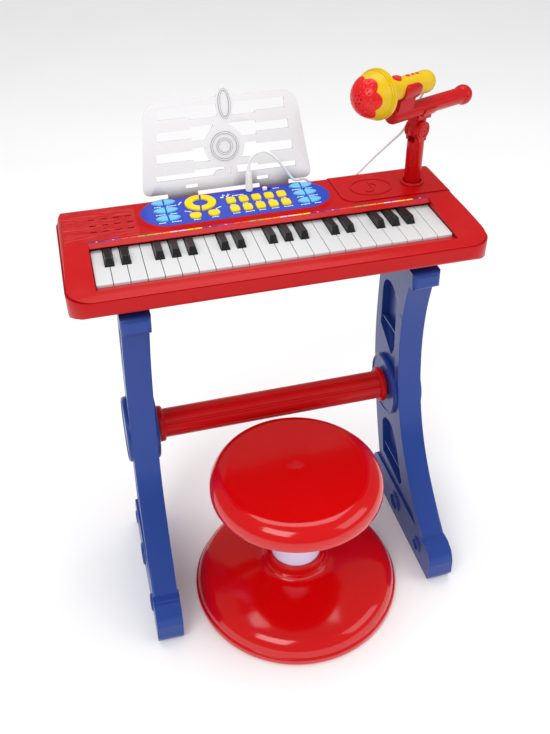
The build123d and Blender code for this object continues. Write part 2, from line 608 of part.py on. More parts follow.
def mic_post():
    """The upright post: a spigot, a tube with a side tab, and a round fork for the boom."""
    post = rod(POST_X, POST_Y, SOCKET_Z + 1.6, DECK_Z + 4, 8.0)
    post += rod(POST_X, POST_Y, DECK_Z + 1.8, PIVOT_Z - 8, POST_R)
    for side in (-1, 1):
        y0, y1 = sorted((side * 5.5, side * 10.8))
        post += across_post(y0, y1, 12.2)
        post += post_frame(-7) * Pos(0, (y0 + y1) / 2, 0) * Box(15, y1 - y0, 14)
        rim0, rim1 = sorted((side * 10.8, side * 12.0))
        post += across_post(rim0, rim1, 9.5)
    post -= post_frame(0) * Box(40, 11, 30)
    near = across_post(-12.1, -11.4, 7.0) - across_post(-12.2, -11.3, 5.6)
    post -= near + across_post(-12.1, -11.2, 1.5)
    post -= across_post(-9.4, 20, 2.6)
    tab = post_frame(-34.5) * Pos(-10.6, 0, 0) * Box(5, 7, 27)
    return post + chamfer(tab.edges().group_by(Axis.Z)[-1], 1.2)


def mic_boom():
    """The boom tube with its ball end, saddle, pivot lug and the clip that holds the handle."""
    boom = along_boom(((FRONT_S + 4, 0), (FRONT_S, 0), (FRONT_S, BOOM_R - 4), (FRONT_S + 1.2, BOOM_R - 1.2),
                       (FRONT_S + 4, BOOM_R), (BALL_S, BOOM_R), (BALL_S, 0)), BOOM_LIFT)
    boom += boom_frame(BALL_S, BOOM_LIFT) * Sphere(13.1)
    saddle = along_boom(((-3, 0), (-3, BOOM_R + 1.6), (21, BOOM_R + 1.6), (24, BOOM_R), (24, 0)), BOOM_LIFT)
    saddle -= boom_frame(10, BOOM_LIFT + 8) * Box(40, 40, 16)
    boom += saddle
    boom += across_boom(0, 0, -5.2, 5.2, 12)
    boom += boom_frame(0, 9) * Box(20, 10.4, 18)
    boom += boom_frame(4, 18) * Box(26, 14, 8)
    boom += mic_clip()
    return boom - across_boom(0, 0, -20, 20, 2.6)


def mic_clip():
    """Two rounded tongues round the handle, on an upright web from the front of the boom."""
    inner, outer = HANDLE_R + 0.15, HANDLE_R + 2.7
    middle, length = (CLIP_FRONT + CLIP_REAR) / 2, CLIP_REAR - CLIP_FRONT
    section = ((CLIP_FRONT, inner), (CLIP_REAR, inner), (CLIP_REAR, outer), (CLIP_FRONT, outer))
    ring = along_boom(section, MIC_LIFT)
    tongue = Rectangle(length - 0.2, 30)
    tongue = fillet(tongue.vertices().group_by(Axis.Y)[-1], 7)
    side_view = boom_frame(middle, MIC_LIFT - 8) * Rot(90, 0, 0) * Pos(0, 0, -25) * extrude(tongue, 50)
    web = Polyline((FRONT_S + 4.5, BOOM_LIFT + 5), (CLIP_FRONT + 1, MIC_LIFT - 9),
                   (CLIP_REAR - 1, MIC_LIFT - 9), (CLIP_REAR - 5, BOOM_LIFT + 5), close=True)
    web = extrude(Plane.XZ * make_face(web), 9.2, both=True)
    web = boom_frame(0, 0) * web
    hole = along_boom(((-60, 0), (10, 0), (10, inner), (-60, inner)), MIC_LIFT)
    return (ring & side_view) + (web - hole)


def dome(grow):
    """The head's half-ellipsoid nose, in front of the widest ring."""
    length, radius = DOME_LENGTH + grow, DOME_R + grow
    quarter = Ellipse(length, radius) & Pos(-length / 2, radius / 2) * Rectangle(length, radius)
    return boom_frame(RIM_S, MIC_LIFT) * revolve(Plane.XY * quarter, Axis.X)


def mic_body():
    """The yellow handle and head, turned about the boom direction, with a pocket for the grille."""
    profile = [
        Polyline((RIM_S - 5, 0), (RIM_S - 5, DOME_R + 0.7), (RIM_S - 2, DOME_R + 0.7), (RIM_S - 2, RIM_R),
                 (RIM_S + 3, RIM_R), (RIM_S + 3.6, RIM_R - 1.2)),
        ThreePointArc((RIM_S + 3.6, RIM_R - 1.2), (RIM_S + 9.5, 20.2), (RIM_S + 27, HANDLE_R)),
        Line((RIM_S + 27, HANDLE_R), (TAIL_S - 19.5, HANDLE_R)),
        ThreePointArc((TAIL_S - 19.5, HANDLE_R), (TAIL_S - 14, HANDLE_R + 0.8), (TAIL_S - 8, HANDLE_R)),
        ThreePointArc((TAIL_S - 8, HANDLE_R), (TAIL_S - 2.4, HANDLE_R - 4), (TAIL_S, 5)),
        Polyline((TAIL_S, 5), (TAIL_S, 0), (RIM_S - 5, 0)),
    ]
    body = boom_frame(0, MIC_LIFT) * revolve(Plane.XY * make_face(Curve() + profile), Axis.X)
    body += dome(0)
    body -= petals(0.3) & (dome(3) - dome(-3.2))
    for x, radius in MIC_BUTTON_PLACES:
        body -= boom_frame(x, MIC_LIFT + 19) * Cylinder(radius + 0.3, 20)
    return body


def petals(grow):
    """A prism with six shallow lobes that covers the head's front, along the boom direction."""
    flower = Circle(18 + grow)
    for step in range(6):
        angle = radians(60 * step + 33)
        flower += Pos(12 * cos(angle), 12 * sin(angle)) * Circle(12.2 + grow)
    return boom_frame(RIM_S - 7, MIC_LIFT) * Rot(0, -90, 0) * extrude(flower, 40)


def mic_grille():
    """The red flower-shaped grille: a slice of a shell, with sound holes."""
    grille = petals(0) & (dome(0.5) - dome(-3.0))
    for radius, count in ((0, 1), (5.2, 6)):
        for step in range(count):
            angle = radians(60 * step + 15)
            place = boom_frame(RIM_S - DOME_LENGTH, MIC_LIFT) * Rot(0, 90, 0)
            grille -= place * Pos(radius * cos(angle), radius * sin(angle), 0) * Cylinder(0.8, 14)
    return grille


def mic_buttons():
    """One large domed button and three small ones on top of the handle."""
    buttons = []
    for x, radius in MIC_BUTTON_PLACES:
        rise = 1.6 if radius > 3 else 0
        stem = boom_frame(x, MIC_LIFT + HANDLE_R + rise - 1.0) * Cylinder(radius, 4)
        top = stem.edges().sort_by(lambda edge: edge.center().Z)[-1]
        stem = fillet(top, 0.45 * radius if radius < 3 else 1.9)
        buttons.append(stem.solid())
    return Compound(buttons)


def mic_cable():
    """The ribbed plug and the cable's lower run, over the rest's foot, behind the case and up."""
    ribs = []
    for step in range(5):
        z = PANEL_TOP + 4 + 4 * step
        ribs += [(4.9, z), (4.9, z + 2.4), (4.4, z + 2.8), (4.4, z + 3.6)]
    plug = Pos(JACK_X, JACK_Y, 0) * revolved((
        (0, BOARD_TOP + 1.2), (1.75, BOARD_TOP + 1.2), (1.75, PANEL_TOP + 0.4), (4.9, PANEL_TOP + 0.4), *ribs,
        (3.0, PANEL_TOP + 26), (2.3, PANEL_TOP + 35), (0, PANEL_TOP + 35)))
    start = (JACK_X, JACK_Y, PANEL_TOP + 33)
    path = Spline(start, (1, 161, 558), (9, 158, 567), (20, 157, 568), (34, 159, 556), (48, 164, 536),
                  (61, 170, 518), (72, 178, 512.2), (82, 188, 507), (96, 198, 495), (118, 203, 488),
                  (140, 203, 486), (162, 197, 501), (174, 191, 517), (187, 181, 537), (199, 171, 555),
                  (208, 160, 572))
    section = Plane(start, z_dir=(0, 0, 1)) * Circle(CABLE_R)
    return plug + sweep(section, path=path)


# ---------------------------------------------------------------- stand
def leg_front():
    """The leg's concave front curve, from under the case to the toe."""
    return Spline((-2, LEG_TOP - 22), (17, 360), (17, 272), (-16, 160), (-72, 88), (-122, 44))


def leg_rear():
    """The leg's bowed rear curve, from the foot up to the case."""
    return Spline((78, FOOT_HEIGHT - 6), (98, 130), (117, 262), (108, 390), (100, LEG_TOP))


def leg_panel_shape(thickness):
    """The upright part between the two curves."""
    front, rear = leg_front(), leg_rear()
    top = Polyline(rear @ 1, (-2, LEG_TOP), front @ 0)
    bottom = Line(front @ 1, rear @ 0)
    return along_x(-thickness / 2, thickness / 2, front, bottom, rear, top)


def leg_band():
    """The broad strip down the leg's front, full thickness, with a channel and a centre rib."""
    front = leg_front()
    back = Spline((12, LEG_TOP - 22), (31, 360), (31, 268), (-3, 152), (-60, 78), (-108, 34))
    band = along_x(-LEG_FULL / 2, LEG_FULL / 2, front, Line(front @ 1, back @ 1), back,
                   Line(back @ 0, front @ 0))
    skin = Spline((-0.2, LEG_TOP - 24), (18.8, 360), (18.8, 272), (-14.4, 161), (-70.8, 89.6), (-121, 46))
    near = Spline((-6, LEG_TOP - 20), (9, 360), (9, 272), (-24, 160), (-80, 88), (-128, 44))
    groove = along_x(-11, 11, skin, Line(skin @ 1, near @ 1), near, Line(near @ 0, skin @ 0))
    rib = along_x(-0.9, 0.9, front, Line(front @ 1, back @ 1), back, Line(back @ 0, front @ 0))
    return band - groove + rib


def foot(thickness):
    """The long foot with a rounded toe and heel."""
    toe = ThreePointArc((-128, FOOT_HEIGHT - 8), (-137, 30), (-134, 6))
    sole = Polyline((-134, 6), (-129, -6), (93, -6), (99, 4))
    heel = ThreePointArc((99, 4), (101, 30), (84, FOOT_HEIGHT))
    top = Polyline((84, FOOT_HEIGHT), (-112, FOOT_HEIGHT), (-128, FOOT_HEIGHT - 8))
    return along_x(-thickness / 2, thickness / 2, toe, sole, heel, top)


def leg_windows(depth):
    """The two arched pockets in a leg's face, cut from x = 0 inwards by depth."""
    upper = (ThreePointArc((94, 376), (76, 398), (44, 384)),
             Polyline((44, 384), (44, 300), (54, 284), (98, 312), (94, 376)))
    lower = (ThreePointArc((74, 138), (54, 158), (22, 146)),
             Polyline((22, 146), (-12, 84), (-6, 74), (66, 82), (74, 138)))
    return [along_x(-depth, 1, *edges) for edges in (upper, lower)]


def leg_blank():
    """One leg before it is leaned: x = 0 on its centre line."""
    leg = leg_panel_shape(LEG_PANEL) + leg_band() + foot(LEG_FULL)
    cap = block(-LEG_FULL / 2 - 1.5, LEG_FULL / 2 + 1.5, -18, 16, LEG_TOP - 25, LEG_TOP - 1)
    cap = fillet(cap.edges().group_by(Axis.Y)[0], 7)
    leg += cap
    toe_block = block(-LEG_FULL / 2 - 0.8, LEG_FULL / 2 + 0.8, -138, -104, 8, FOOT_HEIGHT - 1) & Pos(
        0, -2, 1) * foot(LEG_FULL + 4)
    leg += toe_block
    for side in (-1, 1):
        face = side * LEG_PANEL / 2
        for window in leg_windows(10):
            leg -= Pos(face, 0, 0) * (window if side > 0 else mirror(window, Plane.YZ))
        for y0, y1, z in ((40, 100, 326), (-4, 80, 100)):
            leg += block(side * 3, side * (LEG_PANEL / 2 - 2), y0, y1, z - 1.2, z + 1.2) & leg_panel_shape(40)
        leg += leg_bosses(side)
    return leg


def leg_bosses(side):
    """The large boss round the crossbar socket and the smaller bosses on the foot."""
    def boss(y, z, radius, depth, hollow):
        disc = Pos(side * (LEG_FULL / 2 + depth / 2 - 1), y, z) * Rot(0, 90, 0) * Cylinder(radius, depth + 2)
        disc = chamfer(disc.edges().group_by(Axis.X)[-1 if side > 0 else 0], 2)
        face = Pos(side * (LEG_FULL / 2 + depth + 1), y, z) * Rot(0, 90, 0)
        dish = face * Cylinder(radius - 4.5, 2 * hollow)
        return disc - dish
    large = boss(BAR_Y, BAR_Z, 46, 5, 2)
    return [large, boss(0, 31, 17, 3, 6), boss(-88, 30, 13, 3, 6), boss(74, 31, 11, 2, 3)]


def leg(side):
    """A leg leaned outwards and cut off level at the floor; the crossbar socket is on its inner face."""
    shape = leg_blank()
    shape -= Pos(-side * LEG_FULL / 2, BAR_Y, BAR_Z) * Rot(0, 90, 0) * Cylinder(SPIGOT_R + 1.2, 40)
    shape = Pos(side * LEG_CENTRE, 0, LEG_TOP) * Rot(0, -side * LEG_SPLAY, 0) * Pos(0, 0, -LEG_TOP) * shape
    shape -= block(-400, 400, -300, 300, -60, 0)
    shape -= block(-400, 400, -300, 300, LEG_TOP - 0.2, LEG_TOP + 40)
    tongue = leg_tongue(side, 0)
    return shape + (tongue - block(-400, 400, -300, 300, 0, LEG_TOP - 1.5))


def crossbar():
    """The fluted tube between the legs, with a flange and a spigot at each end."""
    lean = tan(radians(LEG_SPLAY)) * (LEG_TOP - BAR_Z)
    flange_x = LEG_CENTRE + lean - LEG_FULL / 2 - 5 - 2.4
    section = Circle(TUBE_R) - Circle(TUBE_R - 3)
    for step in range(8):
        angle = radians(45 * step + 10)
        section -= Pos((TUBE_R + 0.6) * cos(angle), (TUBE_R + 0.6) * sin(angle)) * Circle(2.4)
    section += Circle(TUBE_R - 2.4) - Circle(TUBE_R - 5)
    bar = extrude(section, 2 * flange_x, both=False)
    bar = Pos(-flange_x, BAR_Y, BAR_Z) * Rot(0, 90, 0) * bar
    for side in (-1, 1):
        collar = Pos(side * (flange_x - 4), BAR_Y, BAR_Z) * Rot(0, 90, 0) * Cylinder(FLANGE_R, 8)
        bar += chamfer(collar.edges().group_by(Axis.X)[0 if side > 0 else -1], 2)
        bar += Pos(side * (flange_x + 7), BAR_Y, BAR_Z) * Rot(0, 90, 0) * Cylinder(SPIGOT_R, 16)
    return bar


# ---------------------------------------------------------------- stool
def stool_base():
    """The base shell: a rim band, a steep rounded shoulder, a shallow cone and a stepped collar."""
    outer = [
        Polyline((136, 0), (143, 0), (146.5, 3), (146.5, 10.5), (145, 12.5), (143.5, 13)),
        ThreePointArc((143.5, 13), (138.5, 26), (125, 35.5)),
        ThreePointArc((125, 35.5), (88, 45.5), (54, 52)),
        Polyline((54, 52), (48, 55), (47, 58), (43.5, 59.5), (42.5, 70), (41, 72), (36, 72), (36, 42),
                 (0, 42)),
    ]
    inner = Polyline((0, 42), (0, 39), (50, 39), (54, 46.5), (88, 41), (122, 32), (134.5, 24), (139.5, 12),
                     (139.5, 4), (136, 4), (136, 0))
    face = make_face(Curve() + outer + [inner])
    return Pos(STOOL_X, STOOL_Y, 0) * revolve(Plane.XZ * face, Axis.Z)


def stool_column():
    """The white tube between base and seat."""
    tube = Cylinder(35.5, 158) - Cylinder(31.5, 159)
    return Pos(STOOL_X, STOOL_Y, 42.1 + 79) * tube


def stool_seat():
    """The seat shell: a shallow dish with a thick rolled edge, an inner socket and a centre pip."""
    outer = [
        Line((0, 227), (88, 228)),
        ThreePointArc((88, 228), (108.5, 221.5), (116.5, 203)),
        Polyline((116.5, 203), (116.5, 199), (115, 197.5), (106, 197.5), (106, 201), (111.5, 202)),
        ThreePointArc((111.5, 202), (104.5, 217.5), (86, 223)),
        Polyline((86, 223), (39.5, 223), (39.5, 190), (35.8, 190), (35.8, 223), (0, 223), (0, 227)),
    ]
    seat = Pos(STOOL_X, STOOL_Y, 0) * revolve(Plane.XZ * make_face(Curve() + outer), Axis.Z)
    return seat + Pos(STOOL_X, STOOL_Y, 226.9) * Cylinder(1.6, 1.4)


# ---------------------------------------------------------------- fasteners
def screws():
    """Six case screws driven up through the tray, and the boom's pivot screw."""
    group = []
    for x, y in SCREW_POINTS:
        shank = rod(x, y, LEG_TOP + 4.9, KEY_TOP - 8, 1.5)
        head = rod(x, y, LEG_TOP + 2.4, LEG_TOP + 5, 3.2)
        slot = block(x - 2.4, x + 2.4, y - 0.5, y + 0.5, LEG_TOP + 1, LEG_TOP + 3.4)
        slot += block(x - 0.5, x + 0.5, y - 2.4, y + 2.4, LEG_TOP + 1, LEG_TOP + 3.4)
        group.append((shank + head - slot).solid())
    pin = across_post(-9.0, 12.6, 2.5)
    head = across_post(12.1, 14.4, 4.6)
    head -= post_frame() * Pos(0, 14.4, 0) * Box(6, 1.6, 1.2)
    group.append((pin + head).solid())
    return Compound(group)


# ---------------------------------------------------------------- assembly
NODES = {
    "upper_case": upper_case, "lower_case": lower_case, "battery_door": battery_door,
    "control_panel": control_panel, "tone_buttons": tone_buttons, "rhythm_buttons": rhythm_buttons,
    "power_switch": power_switch, "circuit_boards": circuit_boards, "speaker": speaker,
    "music_rest": music_rest, "mic_post": mic_post, "mic_boom": mic_boom, "mic_body": mic_body,
    "mic_grille": mic_grille, "mic_buttons": mic_buttons, "mic_cable": mic_cable,
    "leg_left": lambda: leg(-1), "leg_right": lambda: leg(1), "crossbar": crossbar, "screws": screws,
    "stool_base": stool_base, "stool_column": stool_column, "stool_seat": stool_seat,
}


def build():
    """Every node's shape, in the design frame."""
    shapes = {name: make() for name, make in NODES.items()}
    black = 0
    for index in range(WHITE_KEYS):
        shapes[f"white_key_{index + 1:02d}"] = white_key(index)
        if has_black_right(index):
            black += 1
            shapes[f"black_key_{black:02d}"] = black_key(index)
    return shapes


def main():
    os.makedirs("parts", exist_ok=True)
    shapes = build()
    boxes = [shape.bounding_box() for shape in shapes.values()]
    centre_x = (min(b.min.X for b in boxes) + max(b.max.X for b in boxes)) / 2
    centre_y = (min(b.min.Y for b in boxes) + max(b.max.Y for b in boxes)) / 2
    for name, shape in shapes.items():
        export_step(Pos(-centre_x, -centre_y, 0) * shape, f"parts/{name}.step")
    print(len(shapes), "nodes; origin at", round(centre_x, 3), round(centre_y, 3), "of the design frame")


main()
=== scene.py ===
import json
import math
import bpy
import bmesh
from mathutils import Matrix, Vector


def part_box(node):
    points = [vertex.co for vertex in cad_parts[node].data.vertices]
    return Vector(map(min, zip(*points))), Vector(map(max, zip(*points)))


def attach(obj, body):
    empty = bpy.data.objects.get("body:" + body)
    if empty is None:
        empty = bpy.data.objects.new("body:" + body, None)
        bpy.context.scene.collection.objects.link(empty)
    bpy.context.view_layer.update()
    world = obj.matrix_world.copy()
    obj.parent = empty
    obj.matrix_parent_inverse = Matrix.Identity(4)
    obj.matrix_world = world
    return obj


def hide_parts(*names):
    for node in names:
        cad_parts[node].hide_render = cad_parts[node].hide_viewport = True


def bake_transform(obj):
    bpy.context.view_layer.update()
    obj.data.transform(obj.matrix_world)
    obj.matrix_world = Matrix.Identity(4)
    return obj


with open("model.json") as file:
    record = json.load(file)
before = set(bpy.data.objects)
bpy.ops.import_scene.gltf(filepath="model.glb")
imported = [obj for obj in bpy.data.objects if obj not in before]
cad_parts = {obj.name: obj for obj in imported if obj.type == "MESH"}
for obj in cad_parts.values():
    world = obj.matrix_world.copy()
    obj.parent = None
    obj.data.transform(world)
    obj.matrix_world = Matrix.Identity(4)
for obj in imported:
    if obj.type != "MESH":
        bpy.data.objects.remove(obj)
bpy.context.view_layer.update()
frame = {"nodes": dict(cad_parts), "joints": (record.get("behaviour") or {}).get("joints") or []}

# ---------------------------------------------------------------- places, all taken from the frame
MM = 0.001
CASE_X, CASE_REAR = 3.5, 186.6      # the tray's centre and rear face, in the design's millimetres
DECK_RISE = 9.0                     # the deck above the white keys
CASE_LO, CASE_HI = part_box("lower_case")
PANEL_LO, PANEL_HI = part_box("control_panel")
PANEL_TOP = PANEL_HI.z / MM
DECK_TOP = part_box("white_key_01")[1].z + DECK_RISE * MM
JOINTS = {j["name"]: j for j in frame["joints"]}
PIVOT = Vector(JOINTS["boom_tilt"]["pos_m"])
AXIS = Vector(JOINTS["boom_tilt"]["axis"]).normalized()
LIFT = -Vector(JOINTS["button_mic"]["axis"]).normalized()
BOOM = AXIS.cross(LIFT).normalized()    # from the microphone's head towards the ball end


def at(x, y, z):
    """A point of the design, in millimetres.

    x starts at the keybed's middle, y 5 mm before the white keys and z at the floor.
    """
    x0 = (CASE_LO.x + CASE_HI.x) / 2 - CASE_X * MM
    return Vector((x0 + x * MM, CASE_HI.y + (y - CASE_REAR) * MM, z * MM))


def on_boom(s, lift, side=0.0):
    """A point in millimetres along the boom, above the pivot and to one side of it."""
    return PIVOT + (BOOM * s + LIFT * lift + AXIS * side) * MM


# ---------------------------------------------------------------- node trees
def srgb(r, g, b):
    """A linear colour from 0 to 255 values."""
    out = []
    for v in (r, g, b):
        c = v / 255
        out.append(c / 12.92 if c <= 0.04045 else ((c + 0.055) / 1.055) ** 2.4)
    return tuple(out) + (1.0,)


def shade(colour, k):
    """The colour made k times as bright."""
    return tuple(min(1.0, c * k) for c in colour[:3]) + (1.0,)


class Tree:
    """A short way to write a node tree."""

    def __init__(self, name):
        self.material = bpy.data.materials.new(name)
        self.material.use_nodes = True
        self.tree = self.material.node_tree
        self.bsdf = self.tree.nodes["Principled BSDF"]

    def node(self, kind, **values):
        """A node with its settings, or its inputs where it has no such setting."""
        n = self.tree.nodes.new(kind)
        for key, value in values.items():
            if hasattr(n, key):
                setattr(n, key, value)
            else:
                n.inputs[key.replace("_", " ")].default_value = value
        return n

    def feed(self, value, socket):
        """Links an output to a socket, or sets the socket to a plain value."""
        if hasattr(value, "is_linked"):
            self.tree.links.new(value, socket)
        else:
            socket.default_value = value

    def surface(self, name, value):
        """Feeds one input of the surface."""
        self.feed(value, self.bsdf.inputs[name])

    def source(self, name):
        """The output that feeds one input of the surface."""
        return self.bsdf.inputs[name].links[0].from_socket

    def place(self):
        """The point on the object."""
        return self.node("ShaderNodeTexCoord").outputs["Object"]

    def noise(self, scale, detail=3.0, rough=0.5, stretch=None):
        n = self.node("ShaderNodeTexNoise", Scale=scale, Detail=detail, Roughness=rough)
        where = self.place()
        if stretch:
            mapping = self.node("ShaderNodeMapping", Scale=stretch)
            self.feed(where, mapping.inputs["Vector"])
            where = mapping.outputs["Vector"]
        self.feed(where, n.inputs["Vector"])
        return n.outputs["Fac"]

    def ramp(self, fac, low, high):
        """Black below one level and white above the other."""
        r = self.node("ShaderNodeValToRGB")
        for element, position, grey in zip(r.color_ramp.elements, (low, high), (0, 1)):
            element.position = position
            element.color = (grey, grey, grey, 1)
        self.feed(fac, r.inputs["Fac"])
        return r.outputs["Color"]

    def remap(self, fac, low, high):
        m = self.node("ShaderNodeMapRange", To_Min=low, To_Max=high)
        self.feed(fac, m.inputs["Value"])
        return m.outputs["Result"]

    def mix(self, fac, a, b):
        m = self.node("ShaderNodeMix", data_type="RGBA", blend_type="MIX")
        for socket, value in ((m.inputs[0], fac), (m.inputs[6], a), (m.inputs[7], b)):
            self.feed(value, socket)
        return m.outputs[2]

    def math(self, operation, *values):
        m = self.node("ShaderNodeMath", operation=operation)
        for socket, value in zip(m.inputs, values):
            self.feed(value, socket)
        return m.outputs[0]

    def bump(self, height, distance, strength=1.0, normal=None):
        b = self.node("ShaderNodeBump", Distance=distance)
        self.feed(strength, b.inputs["Strength"])
        self.feed(height, b.inputs["Height"])
        if normal is not None:
            self.feed(normal, b.inputs["Normal"])
        return b.outputs["Normal"]


# ---------------------------------------------------------------- materials
# noise scales: the larger, the finer
DRIFT, WAVES, CLOUDS, SCRATCHES, SPECKS, GRAIN = 9.0, 24.0, 60.0, 70.0, 520.0, 1500.0
WAVE_DEPTH = 0.00025
SCRATCH_DULLING = 0.036         # how much rougher a scratch is
DARKEST_SPECK = 0.14


def plastic(name, colour, rough, coat, mottle=0.06, grain=0.00002, shine=0.3, waves=0.12):
    """Moulded plastic: slow colour drift, specks, uneven gloss, faint scratches, fine grain and waves."""
    t = Tree(name)
    drift = t.mix(t.noise(DRIFT, 4.0), shade(colour, 1 - mottle), shade(colour, 1 + mottle))
    speck = shade(colour, 1 - min(DARKEST_SPECK, 1.3 * mottle))
    t.surface("Base Color", t.mix(t.ramp(t.noise(SPECKS, 2.0), 0.30, 0.36), speck, drift))
    scratch = t.ramp(t.noise(SCRATCHES, 4.0, 0.6, (1.0, 9.0, 3.0)), 0.62, 0.70)
    gloss = t.remap(t.noise(CLOUDS, 3.0), rough * 0.82, rough * 1.25)
    t.surface("Roughness", t.math("MULTIPLY_ADD", scratch, SCRATCH_DULLING, gloss))
    fine = t.bump(t.noise(GRAIN, 2.0), grain, 0.35)
    t.surface("Normal", t.bump(t.noise(WAVES, 2.0), WAVE_DEPTH, waves, fine))
    t.surface("IOR", 1.5)
    t.surface("Specular IOR Level", shine)
    t.surface("Coat Weight", coat)
    t.surface("Coat Roughness", 0.12)
    return t


def painted_corner_shade(t, colour, reach, low, high):
    """Painted shade: darkens the colour in corners and slots, where nearby surfaces block the light."""
    # painted shade: an occlusion node blends the colour towards a darker one near other surfaces
    near = t.node("ShaderNodeAmbientOcclusion", samples=12, Distance=reach)
    t.surface("Base Color", t.mix(t.ramp(near.outputs["AO"], low, high), colour, t.source("Base Color")))
    return t


def brushed_case():
    """The red case: brushed lines on the deck left of the control panel, paler along the lines as a
    painted highlight, with painted shade in corners and slots.
    """
    t = plastic("case_red", srgb(184, 6, 11), 0.32, 0.06, shine=0.2)
    split = t.node("ShaderNodeSeparateXYZ")
    t.feed(t.place(), split.inputs["Vector"])
    lines = t.noise(36.0, 5.0, 0.65, (1.0, 15.0, 1.0))
    left = t.math("LESS_THAN", split.outputs["X"], PANEL_LO.x - 6 * MM)
    back = t.math("GREATER_THAN", split.outputs["Y"], at(0, 93, 0).y)
    top = t.math("GREATER_THAN", split.outputs["Z"], DECK_TOP - 1 * MM)
    deck = t.math("MULTIPLY", t.math("MULTIPLY", left, back), top)
    t.surface("Normal", t.bump(lines, 0.0016, deck, t.source("Normal")))
    # painted highlight: the deck is paled towards pink along the brushed lines, standing in for their
    # sheen; the bump above is the real brushing
    line_sheen = t.math("MULTIPLY", deck, t.ramp(lines, 0.48, 0.66))
    t.surface("Base Color", t.mix(line_sheen, t.source("Base Color"), srgb(214, 62, 66)))
    # painted shade: the case turns deep red in its corners and slots
    return painted_corner_shade(t, srgb(96, 4, 8), 0.009, 0.30, 0.80)


def pale_rest():
    """The white music rest, shaded grey round its slots."""
    t = plastic("rest_white", srgb(236, 236, 238), 0.25, 0.2, 0.015)
    # painted shade: the rest turns grey round its slots and corners
    return painted_corner_shade(t, srgb(118, 118, 126), 0.02, 0.55, 0.98)


def metal(name, colour, rough=0.35):
    """Plated steel with uneven tone and fine grain."""
    t = Tree(name)
    t.surface("Base Color", t.mix(t.noise(200.0, 3.0), shade(colour, 0.8), shade(colour, 1.1)))
    t.surface("Metallic", 1.0)
    t.surface("Roughness", t.remap(t.noise(900.0, 2.0), rough * 0.7, rough * 1.3))
    t.surface("Normal", t.bump(t.noise(2500.0, 2.0), 0.00002, 0.5))
    return t


def board():
    """Green board with a grid of paler tracks."""
    t = Tree("board_green")
    brick = t.node("ShaderNodeTexBrick", Scale=60.0, Color1=srgb(24, 92, 52), Color2=srgb(30, 104, 60),
                   Mortar=srgb(150, 150, 90), Mortar_Size=0.012)
    t.feed(t.place(), brick.inputs["Vector"])
    t.surface("Base Color", t.mix(t.noise(90.0), srgb(20, 80, 45), brick.outputs["Color"]))
    t.surface("Roughness", t.remap(t.noise(300.0), 0.3, 0.5))
    t.surface("Normal", t.bump(brick.outputs["Fac"], 0.0001, 0.4))
    return t


CASE = brushed_case().material
RED = plastic("part_red", srgb(187, 7, 12), 0.32, 0.08, shine=0.22).material
GLOSS_RED = plastic("stool_red", srgb(202, 4, 6), 0.10, 0.6, 0.04, 0.00001).material
BLUE = plastic("leg_blue", srgb(30, 62, 140), 0.32, 0.15).material
PANEL = plastic("panel_blue", srgb(36, 64, 178), 0.36, 0.04).material
PALE_BLUE = plastic("light_blue", srgb(104, 186, 230), 0.30, 0.1).material
YELLOW = plastic("button_yellow", srgb(250, 208, 0), 0.36, 0.05).material
WHITE = plastic("white_plastic", srgb(240, 240, 241), 0.25, 0.2, 0.015).material
KEY_WHITE = plastic("key_white", srgb(210, 210, 211), 0.30, 0.05, 0.02, waves=0.03).material
KEY_BLACK = plastic("key_black", srgb(27, 27, 28), 0.34, 0.03, 0.10).material
MIC = plastic("mic_yellow", srgb(216, 178, 10), 0.34, 0.08).material
GRILLE = plastic("mic_red", srgb(214, 18, 22), 0.26, 0.2).material
CABLE = plastic("cable_white", srgb(240, 246, 250), 0.42, 0.0, 0.03).material
REST_WHITE = pale_rest().material
# painted shade: dark red for the sound holes' bottoms, standing in for the shade inside them
HOLE_SHADE_RED = plastic("hole_shade", srgb(70, 4, 8), 0.6, 0.0).material
LILAC = plastic("lilac_white", srgb(226, 220, 250), 0.22, 0.3, 0.02).material
SPEAKER = plastic("speaker_black", srgb(34, 33, 35), 0.6, 0.0, 0.15).material
STEEL = metal("steel", srgb(168, 168, 172)).material
BOARD = board().material
INK = plastic("mark_white", srgb(236, 240, 250), 0.5, 0.0, 0.03).material
STRIP_COLOURS = {
    "navy": (24, 54, 130), "purple": (128, 60, 160), "coral": (222, 84, 46), "green": (118, 182, 84),
    "orange": (236, 156, 52), "pink": (240, 202, 226), "yellow": (246, 222, 60),
}
STRIP_INKS = {
    name: plastic("strip_" + name, srgb(*rgb), 0.4, 0.05, 0.05).material
    for name, rgb in STRIP_COLOURS.items()
}

# ---------------------------------------------------------------- the CAD nodes
LOOK = {
    "upper_case": CASE, "lower_case": CASE, "battery_door": CASE, "control_panel": PANEL,
    "tone_buttons": PALE_BLUE, "rhythm_buttons": YELLOW, "power_switch": WHITE, "circuit_boards": BOARD,
    "speaker": SPEAKER, "music_rest": REST_WHITE, "mic_post": RED, "mic_boom": RED, "mic_body": MIC,
    "mic_grille": GRILLE, "mic_buttons": GRILLE, "mic_cable": CABLE, "leg_left": BLUE, "leg_right": BLUE,
    "crossbar": RED, "screws": STEEL, "stool_base": GLOSS_RED, "stool_column": LILAC,
    "stool_seat": GLOSS_RED,
}
# edge radii in millimetres, by the start of the node's name
SOFT_EDGES = {
    "white_key": 0.5, "black_key": 0.6, "leg_": 2.5, "music_rest": 0.5, "tone_buttons": 0.4,
    "rhythm_buttons": 0.5, "power_switch": 0.4, "mic_boom": 0.8, "mic_post": 0.8, "upper_case": 0.7,
    "lower_case": 0.7, "stool_base": 0.6, "stool_seat": 0.6, "crossbar": 0.5, "mic_body": 0.5,
}
WELD_REACH = 0.000002
SHARP_ANGLE = 28


